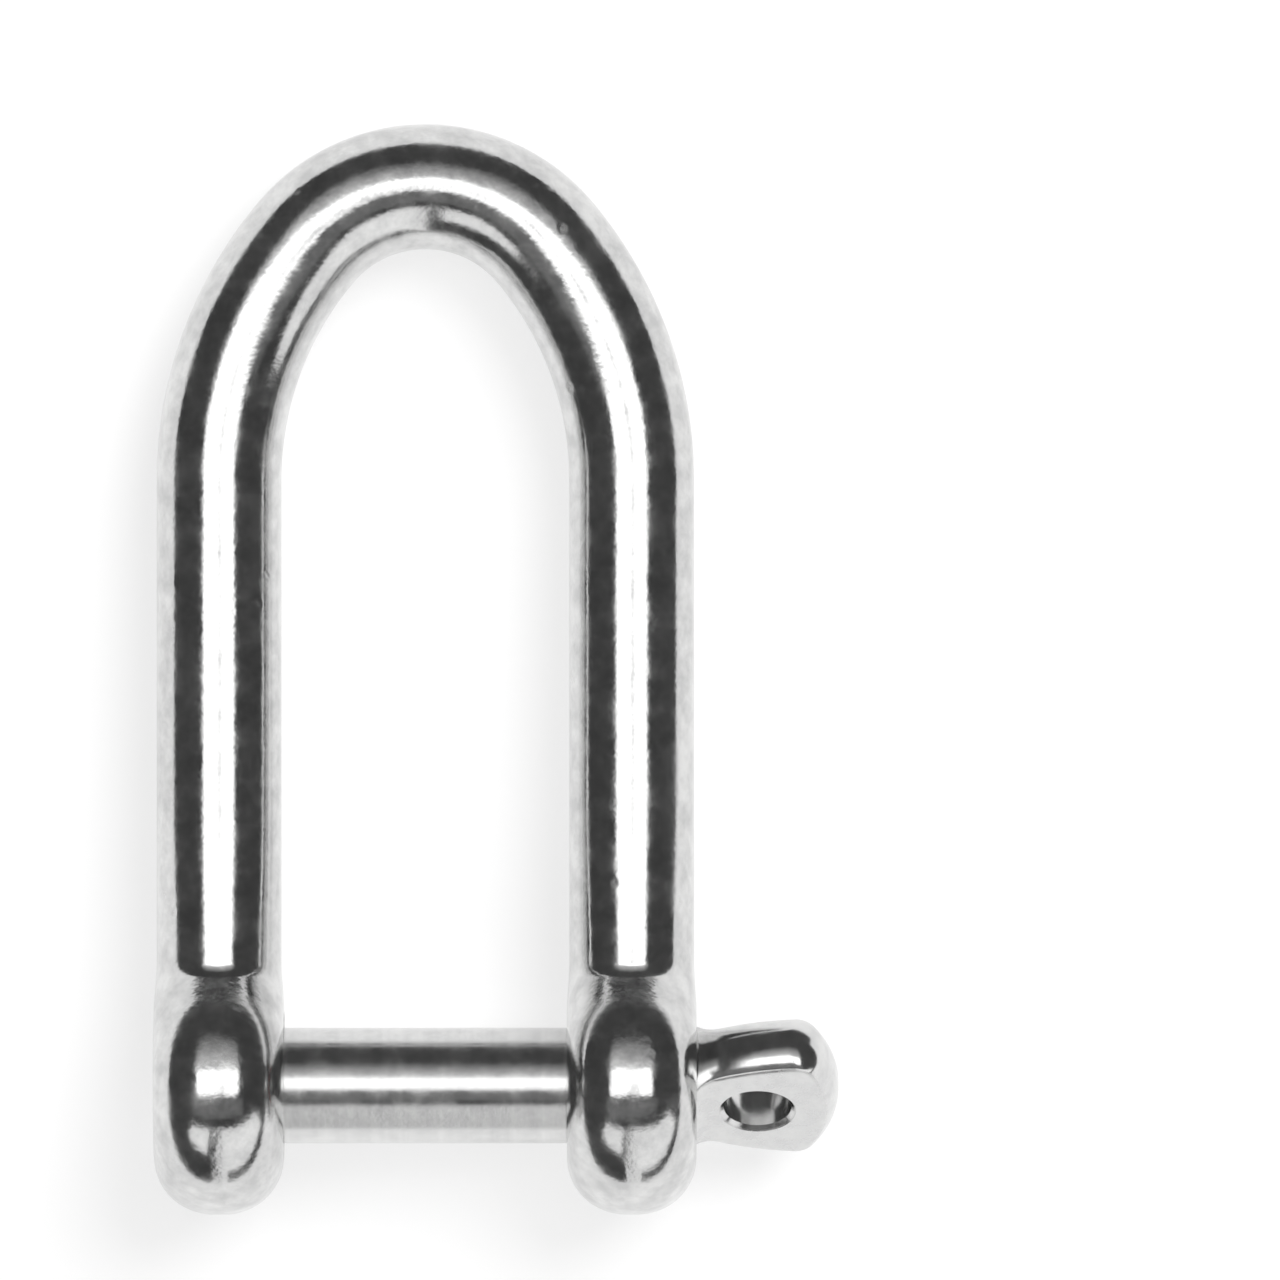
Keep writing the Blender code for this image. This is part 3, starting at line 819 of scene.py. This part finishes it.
studio = {
    "floorSize": 1.6,
    "viewWidth": 81.9 * mm,
    "viewCentre": (13.73 * mm, 28.5 * mm),
    "lens": 600.0,
    "sensor": 36.0,
    "floorGlow": 0.68,
    "keyStrength": 2.1,
    "keySoftness": math.radians(34),
    "keyFrom": (0.55, 0.62, 1.15),
    "boxStrength": 2.1,
    "boomShade": 0.55,
    "glowStrength": 0.8,
    "apronStrength": 0.2,
    "panelStrength": 1.1,
    "surround": 0.07,
}


# where each soft light stands: (from, to, softness) in degrees, one way and then the other
softLights = {
    "box": ((-29, 29, 3.0), (-8, 16.5, 2.5)),
    "boom": ((-0.5, 4.5, 1.5), (-16, 4, 4.0)),  # the arm that holds the box
    "glow": ((-32, 32, 6.0), (13, 60, 3.0)),
    "glowFade": (15, 50),
    "apron": ((-40, 40, 10.0), (-30, -10, 4.0)),
    "rightPanel": ((-1.6, 70, 0.6), (20, 84, 1.5)),
    "leftPanel": ((-48, -8.0, 1.0), (20, 64, 2.5)),
    "footPanel": ((-1.6, 5, 0.6), (60, 110, 2.0)),
    "panelRise": (38, 120, 3.0),
}


def makeCamera():
    data = bpy.data.cameras.new("camera")
    data.lens = studio["lens"]
    data.sensor_width = studio["sensor"]
    camera = bpy.data.objects.new("camera", data)
    distance = studio["viewWidth"] * studio["lens"] / studio["sensor"]
    across, along = studio["viewCentre"]
    camera.location = pinAxis + Vector((across, along, distance))
    data.clip_start, data.clip_end = distance * 0.01, distance * 20
    bpy.context.scene.collection.objects.link(camera)
    bpy.context.scene.camera = camera


def makeFloor():
    # it leans by the few degrees that let both eyes and the crown rest on it
    crownHeight = bowHigh.y - bow["barRadius"]
    lean = math.asin((eyeRadius - bow["barRadius"]) / crownHeight)
    mesh = bpy.data.meshes.new("floor")
    half = studio["floorSize"] / 2
    corners = [(-half, -half, 0), (half, -half, 0), (half, half, 0), (-half, half, 0)]
    mesh.from_pydata(corners, [], [(0, 1, 2, 3)])
    floor = bpy.data.objects.new("floor", mesh)
    floor.rotation_euler.x = lean
    floor.location = pinAxis - eyeRadius * Vector((0, -math.sin(lean), math.cos(lean)))
    bpy.context.scene.collection.objects.link(floor)
    material, nodes, shader, place = newMaterial("paleFloor")
    speckle = nodes.noise(place, 40, 3.0, 0.5)
    nodes.feed(
        shader.inputs["Base Color"],
        nodes.blendColour(speckle, (0.36, 0.36, 0.36, 1), (0.38, 0.38, 0.38, 1)),
    )
    shader.inputs["Emission Color"].default_value = (1, 1, 1, 1)
    shader.inputs["Emission Strength"].default_value = studio["floorGlow"]
    shader.inputs["Roughness"].default_value = 0.9
    shader.inputs["Specular IOR Level"].default_value = 0.0
    mesh.materials.append(material)


def makeKeyLight():
    light = bpy.data.lights.new("keyLight", "SUN")
    light.energy = studio["keyStrength"]
    light.angle = studio["keySoftness"]
    holder = bpy.data.objects.new("keyLight", light)
    holder.rotation_mode = "QUATERNION"
    holder.rotation_quaternion = Vector(studio["keyFrom"]).to_track_quat("Z", "Y")
    holder.visible_glossy = False
    bpy.context.scene.collection.objects.link(holder)


def makeSurroundings():
    # a soft box overhead, two low white panels in front, and a dim room round them
    world = bpy.data.worlds.new("studio")
    bpy.context.scene.world = world
    world.use_nodes = True
    tree = world.node_tree
    tree.nodes.clear()
    nodes = Nodes(tree)
    split = nodes.add("ShaderNodeSeparateXYZ", Vector=nodes.add("ShaderNodeTexCoord").outputs["Generated"])
    x, y, z = split.outputs
    degrees = 180 / math.pi
    back = nodes.math("MULTIPLY", y, -1.0)
    leanX = nodes.math("MULTIPLY", nodes.math("ARCTAN2", x, z), degrees)
    leanY = nodes.math("MULTIPLY", nodes.math("ARCTAN2", y, z), degrees)
    leanBack = nodes.math("MULTIPLY", nodes.math("ARCTAN2", back, z), degrees)
    heading = nodes.math("MULTIPLY", nodes.math("ARCTAN2", x, back), degrees)
    fromTop = nodes.math("MULTIPLY", nodes.math("ARCCOSINE", z), degrees)

    def patch(first, second, shape):
        return nodes.math("MULTIPLY", nodes.band(first, *shape[0]), nodes.band(second, *shape[1]))

    box = patch(leanX, leanY, softLights["box"])
    fadeStart, fadeEnd = softLights["glowFade"]
    glow = patch(leanX, leanY, softLights["glow"])
    glow = nodes.math("MULTIPLY", glow, nodes.remap(leanY, fadeStart, fadeEnd, 1.0, 0.0))
    apron = patch(leanX, leanY, softLights["apron"])
    boom = patch(leanX, leanY, softLights["boom"])
    low = nodes.band(leanBack, *softLights["panelRise"])
    sides = nodes.math("MAXIMUM", *(
        patch(heading, fromTop, softLights[name]) for name in ("rightPanel", "leftPanel")
    ))
    front = nodes.math("MAXIMUM", sides, patch(heading, fromTop, softLights["footPanel"]))
    panels = nodes.math("MULTIPLY", front, low)

    light = nodes.math("MULTIPLY", box, studio["boxStrength"])
    light = nodes.math("MULTIPLY", light, nodes.remap(boom, 0, 1, 1.0, studio["boomShade"]))
    for shape, strength in ((glow, "glowStrength"), (apron, "apronStrength"), (panels, "panelStrength")):
        light = nodes.math("MAXIMUM", light, nodes.math("MULTIPLY", shape, studio[strength]))
    light = nodes.math("MAXIMUM", light, studio["surround"])

    seen = nodes.add("ShaderNodeLightPath").outputs["Is Camera Ray"]
    room = nodes.add("ShaderNodeBackground", Strength=light)
    plain = nodes.add("ShaderNodeBackground", Strength=1.0)
    plain.inputs["Color"].default_value = (1, 1, 1, 1)
    room.inputs["Color"].default_value = (1, 1, 1, 1)
    mixed = tree.nodes.new("ShaderNodeMixShader")
    nodes.feed(mixed.inputs[0], seen)
    nodes.feed(mixed.inputs[1], room.outputs[0])
    nodes.feed(mixed.inputs[2], plain.outputs[0])
    output = tree.nodes.new("ShaderNodeOutputWorld")
    nodes.feed(output.inputs["Surface"], mixed.outputs[0])
    bpy.context.scene.view_settings.view_transform = "Standard"


makeCamera()
makeBow()
makePin()
makeRing()
makeFloor()
makeKeyLight()
makeSurroundings()
print("studio set")
